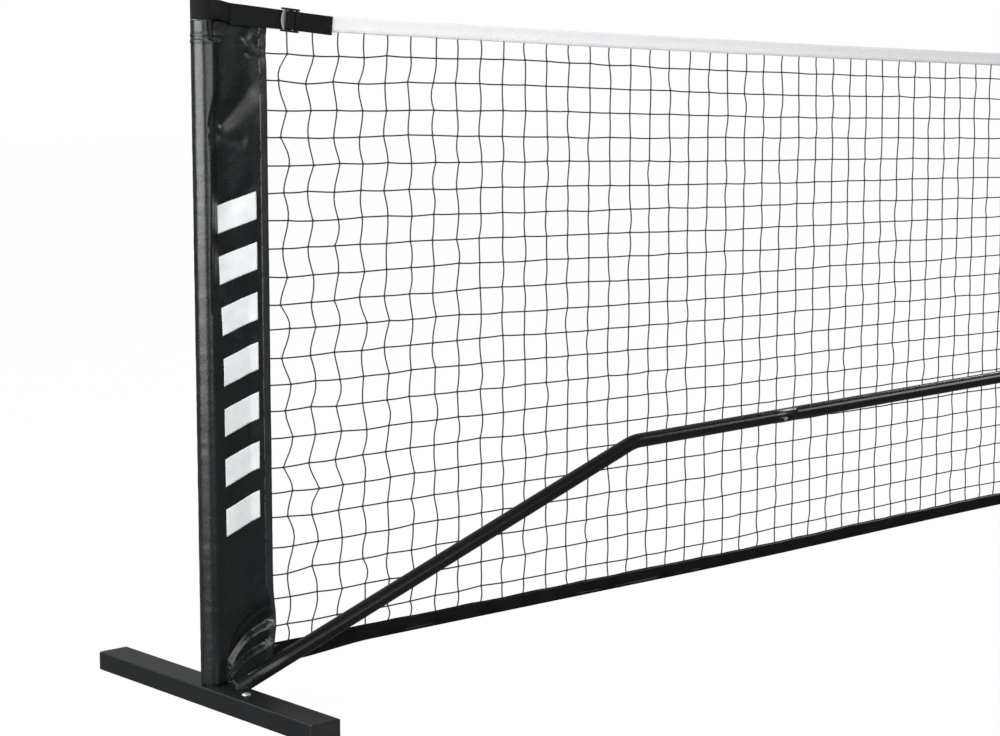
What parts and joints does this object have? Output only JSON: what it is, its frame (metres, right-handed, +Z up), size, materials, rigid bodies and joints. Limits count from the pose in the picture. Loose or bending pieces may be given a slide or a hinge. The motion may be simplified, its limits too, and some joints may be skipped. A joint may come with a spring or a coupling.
{
  "type": "pickleball portable net",
  "caption": "Free-standing court net: sleeved end posts on flat steel feet, a frame of snap-together tubes in front, and a knotted net with a white top tape and a dark hem.",
  "frame": {"origin": "on the floor, at the middle of the net's length and in its plane", "axes": "+X along the net, +Y away from the side that the frame tubes are on, +Z up"},
  "size_m": [6.752, 0.492, 0.93],
  "materials": {
    "powder_coat": "satin black powder coat",
    "post_coat": "satin black powder coat",
    "snap_button": "brushed stainless",
    "spring_steel": "bare spring steel",
    "cap_plastic": "fine-textured black moulding",
    "buckle_plastic": "moulded acetal with ribs",
    "vinyl": "glossy vinyl-coated cloth, wrinkled, sewn edges",
    "webbing": "woven polyester webbing",
    "net_cord": "knotted polyethylene cord",
    "white_tape": "white woven polyester",
    "cable": "coated steel cable",
    "hem_cord": "braided cord"
  },
  "bodies": {
    "frame": {"base_left": "powder_coat", "foot_front_left": "powder_coat", "foot_end_caps_left": "cap_plastic", "tube_bent_left": "powder_coat", "tube_long_left": "powder_coat", "tube_inner_left": "powder_coat", "spring_clips_left": "spring_steel", "base_right": "powder_coat", "foot_front_right": "powder_coat", "foot_end_caps_right": "cap_plastic", "tube_bent_right": "powder_coat", "tube_long_right": "powder_coat", "tube_inner_right": "powder_coat", "spring_clips_right": "spring_steel", "base_middle": "powder_coat", "foot_front_middle": "powder_coat", "foot_end_caps_middle": "cap_plastic", "spring_clip_middle": "spring_steel", "tee_middle": "powder_coat"},
    "net_and_posts": {"post_left": "post_coat", "post_cap_left": "cap_plastic", "sleeve_left": "vinyl", "post_strap_left": "webbing", "strap_anchor_left": "webbing", "post_right": "post_coat", "post_cap_right": "cap_plastic", "sleeve_right": "vinyl", "post_strap_right": "webbing", "strap_anchor_right": "webbing", "post_middle": "post_coat", "post_collar_middle": "cap_plastic", "post_cap_middle": "cap_plastic", "strap_middle": "webbing", "net_mesh": "net_cord", "top_tape": "white_tape", "top_cable": "cable", "bottom_hem": "vinyl", "bottom_cord": "hem_cord"},
    "foot_button_left": {"foot_button_left": "snap_button"},
    "tube_button_outer_left": {"tube_button_outer_left": "snap_button"},
    "tube_button_mid_left": {"tube_button_mid_left": "snap_button"},
    "tube_button_inner_left": {"tube_button_inner_left": "snap_button"},
    "foot_button_right": {"foot_button_right": "snap_button"},
    "tube_button_outer_right": {"tube_button_outer_right": "snap_button"},
    "tube_button_mid_right": {"tube_button_mid_right": "snap_button"},
    "tube_button_inner_right": {"tube_button_inner_right": "snap_button"},
    "foot_button_middle": {"foot_button_middle": "snap_button"},
    "ladder_lock_left": {"ladder_lock_left": "buckle_plastic"},
    "ladder_lock_right": {"ladder_lock_right": "buckle_plastic"}
  },
  "joints": [
    {"name": "net_lift", "type": "slide", "parent": "frame", "child": "net_and_posts", "axis": [0, 0, 1], "range_m": [0, 0.1]},
    {"name": "foot_button_left_press", "type": "slide", "parent": "frame", "child": "foot_button_left", "axis": [0, 0, -1], "range_m": [0, 0.0045], "stiffness_N_per_m": 900, "springref_m": -0.003, "deforming": ["spring_clips_left"]},
    {"name": "tube_button_outer_left_press", "type": "slide", "parent": "frame", "child": "tube_button_outer_left", "axis": [-0.0089, 0.9063, 0.4225], "range_m": [0, 0.0036], "stiffness_N_per_m": 900, "springref_m": -0.003, "deforming": ["spring_clips_left"]},
    {"name": "tube_button_mid_left_press", "type": "slide", "parent": "frame", "child": "tube_button_mid_left", "axis": [-0.0089, 0.9063, 0.4225], "range_m": [0, 0.0036], "stiffness_N_per_m": 900, "springref_m": -0.003, "deforming": ["spring_clips_left"]},
    {"name": "tube_button_inner_left_press", "type": "slide", "parent": "frame", "child": "tube_button_inner_left", "axis": [-0.0089, 0.9063, 0.4225], "range_m": [0, 0.0036], "stiffness_N_per_m": 900, "springref_m": -0.003, "deforming": ["spring_clips_left"]},
    {"name": "foot_button_right_press", "type": "slide", "parent": "frame", "child": "foot_button_right", "axis": [0, 0, -1], "range_m": [0, 0.0045], "stiffness_N_per_m": 900, "springref_m": -0.003, "deforming": ["spring_clips_right"]},
    {"name": "tube_button_outer_right_press", "type": "slide", "parent": "frame", "child": "tube_button_outer_right", "axis": [0.0089, 0.9063, 0.4225], "range_m": [0, 0.0036], "stiffness_N_per_m": 900, "springref_m": -0.003, "deforming": ["spring_clips_right"]},
    {"name": "tube_button_mid_right_press", "type": "slide", "parent": "frame", "child": "tube_button_mid_right", "axis": [0.0089, 0.9063, 0.4225], "range_m": [0, 0.0036], "stiffness_N_per_m": 900, "springref_m": -0.003, "deforming": ["spring_clips_right"]},
    {"name": "tube_button_inner_right_press", "type": "slide", "parent": "frame", "child": "tube_button_inner_right", "axis": [0.0089, 0.9063, 0.4225], "range_m": [0, 0.0036], "stiffness_N_per_m": 900, "springref_m": -0.003, "deforming": ["spring_clips_right"]},
    {"name": "foot_button_middle_press", "type": "slide", "parent": "frame", "child": "foot_button_middle", "axis": [0, 0, -1], "range_m": [0, 0.0045], "stiffness_N_per_m": 900, "springref_m": -0.003, "deforming": ["spring_clip_middle"]},
    {"name": "ladder_lock_left_tilt", "type": "hinge", "parent": "net_and_posts", "child": "ladder_lock_left", "pos_m": [-3.20801, -0.0062, 0.89933], "axis": [0.0837, 0, 0.9965], "range_deg": [0, 35], "deforming": ["post_strap_left"]},
    {"name": "ladder_lock_right_tilt", "type": "hinge", "parent": "net_and_posts", "child": "ladder_lock_right", "pos_m": [3.20801, -0.0062, 0.89933], "axis": [0.0837, 0, -0.9965], "range_deg": [0, 35], "deforming": ["post_strap_right"]}
  ]
}
